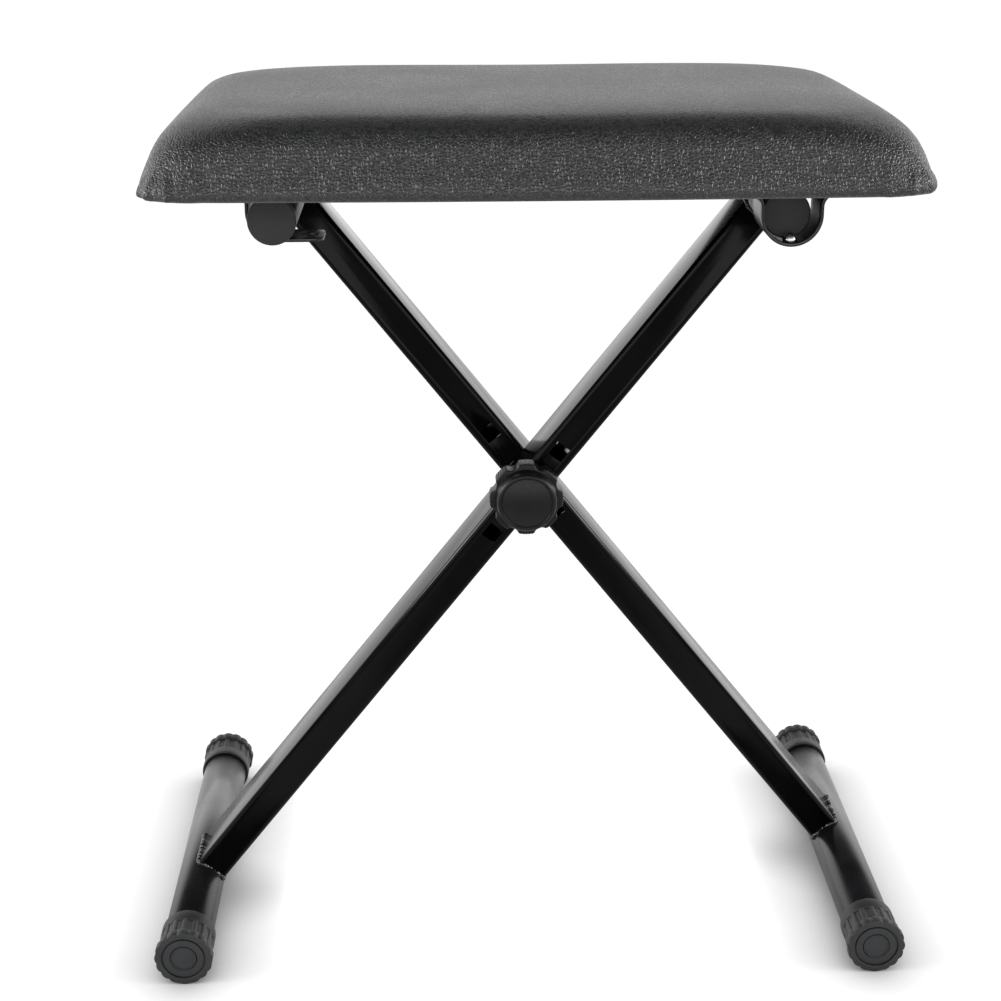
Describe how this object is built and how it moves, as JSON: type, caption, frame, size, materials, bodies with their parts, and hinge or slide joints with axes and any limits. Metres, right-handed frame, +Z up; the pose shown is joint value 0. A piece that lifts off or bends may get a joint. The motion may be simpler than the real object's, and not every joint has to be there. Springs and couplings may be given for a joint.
{
  "type": "piano bench",
  "caption": "Folding X-frame piano bench: padded rectangular seat on two crossed rectangular-tube legs with round foot tubes, clamped by a hand knob.",
  "frame": {"origin": "on the floor, under the middle of the bench's box", "axes": "+X to the sitter's right seen from the knob side, +Y to the back, away from the knob, +Z up"},
  "size_m": [0.4336, 0.296, 0.4946],
  "materials": {
    "cover_leather": "pebbled imitation leather, soft satin sheen",
    "foam": "open-cell foam",
    "board": "raw plywood",
    "fleece": "black non-woven fleece",
    "black_enamel": "glossy black baked enamel",
    "cap_plastic": "matte dark grey moulded plastic",
    "knob_plastic": "finely textured black moulded plastic",
    "nylon": "natural nylon",
    "zinc_steel": "bright zinc plating"
  },
  "bodies": {
    "root": {"front_arm": "black_enamel", "left_foot_tube": "black_enamel", "left_foot_cap_front": "cap_plastic", "left_foot_cap_back": "cap_plastic", "right_seat_tube": "black_enamel", "right_tube_plug_front": "cap_plastic", "right_tube_plug_back": "cap_plastic"},
    "rear_leg": {"rear_arm": "black_enamel", "right_foot_tube": "black_enamel", "right_foot_cap_front": "cap_plastic", "right_foot_cap_back": "cap_plastic", "left_seat_tube": "black_enamel", "left_tube_plug_front": "cap_plastic", "left_tube_plug_back": "cap_plastic", "pivot_bolt": "zinc_steel", "leg_spacer_washer": "nylon"},
    "seat": {"seat_cover": "cover_leather", "seat_foam": "foam", "seat_board": "board", "seat_dust_cover": "fleece", "hook_bracket_front": "black_enamel", "hook_bracket_back": "black_enamel", "swivel_bracket_front": "black_enamel", "swivel_bracket_back": "black_enamel", "hook_screw_front_1": "zinc_steel", "hook_screw_front_2": "zinc_steel", "hook_screw_back_1": "zinc_steel", "hook_screw_back_2": "zinc_steel", "swivel_screw_front_1": "zinc_steel", "swivel_screw_front_2": "zinc_steel", "swivel_screw_back_1": "zinc_steel", "swivel_screw_back_2": "zinc_steel", "tube_stop_rivet_front": "zinc_steel", "tube_stop_rivet_back": "zinc_steel"},
    "knob": {"height_knob": "knob_plastic", "knob_nut": "zinc_steel", "knob_washer": "zinc_steel"}
  },
  "joints": [
    {"name": "fold", "type": "hinge", "parent": "root", "child": "rear_leg", "pos_m": [0, -0.01, 0.26814], "axis": [0, 1, 0], "range_deg": [0, 60]},
    {"name": "seat_swivel", "type": "hinge", "parent": "root", "child": "seat", "pos_m": [0.135, 0, 0.4378], "axis": [0, 1, 0], "range_deg": [0, 30]},
    {"name": "knob_turn", "type": "hinge", "parent": "rear_leg", "child": "knob", "pos_m": [0, -0.06, 0.26814], "axis": [0, 1, 0], "continuous": true}
  ],
  "couplings": [
    {"joint": "seat_swivel", "follows": "fold", "ratio": 0.5}
  ]
}
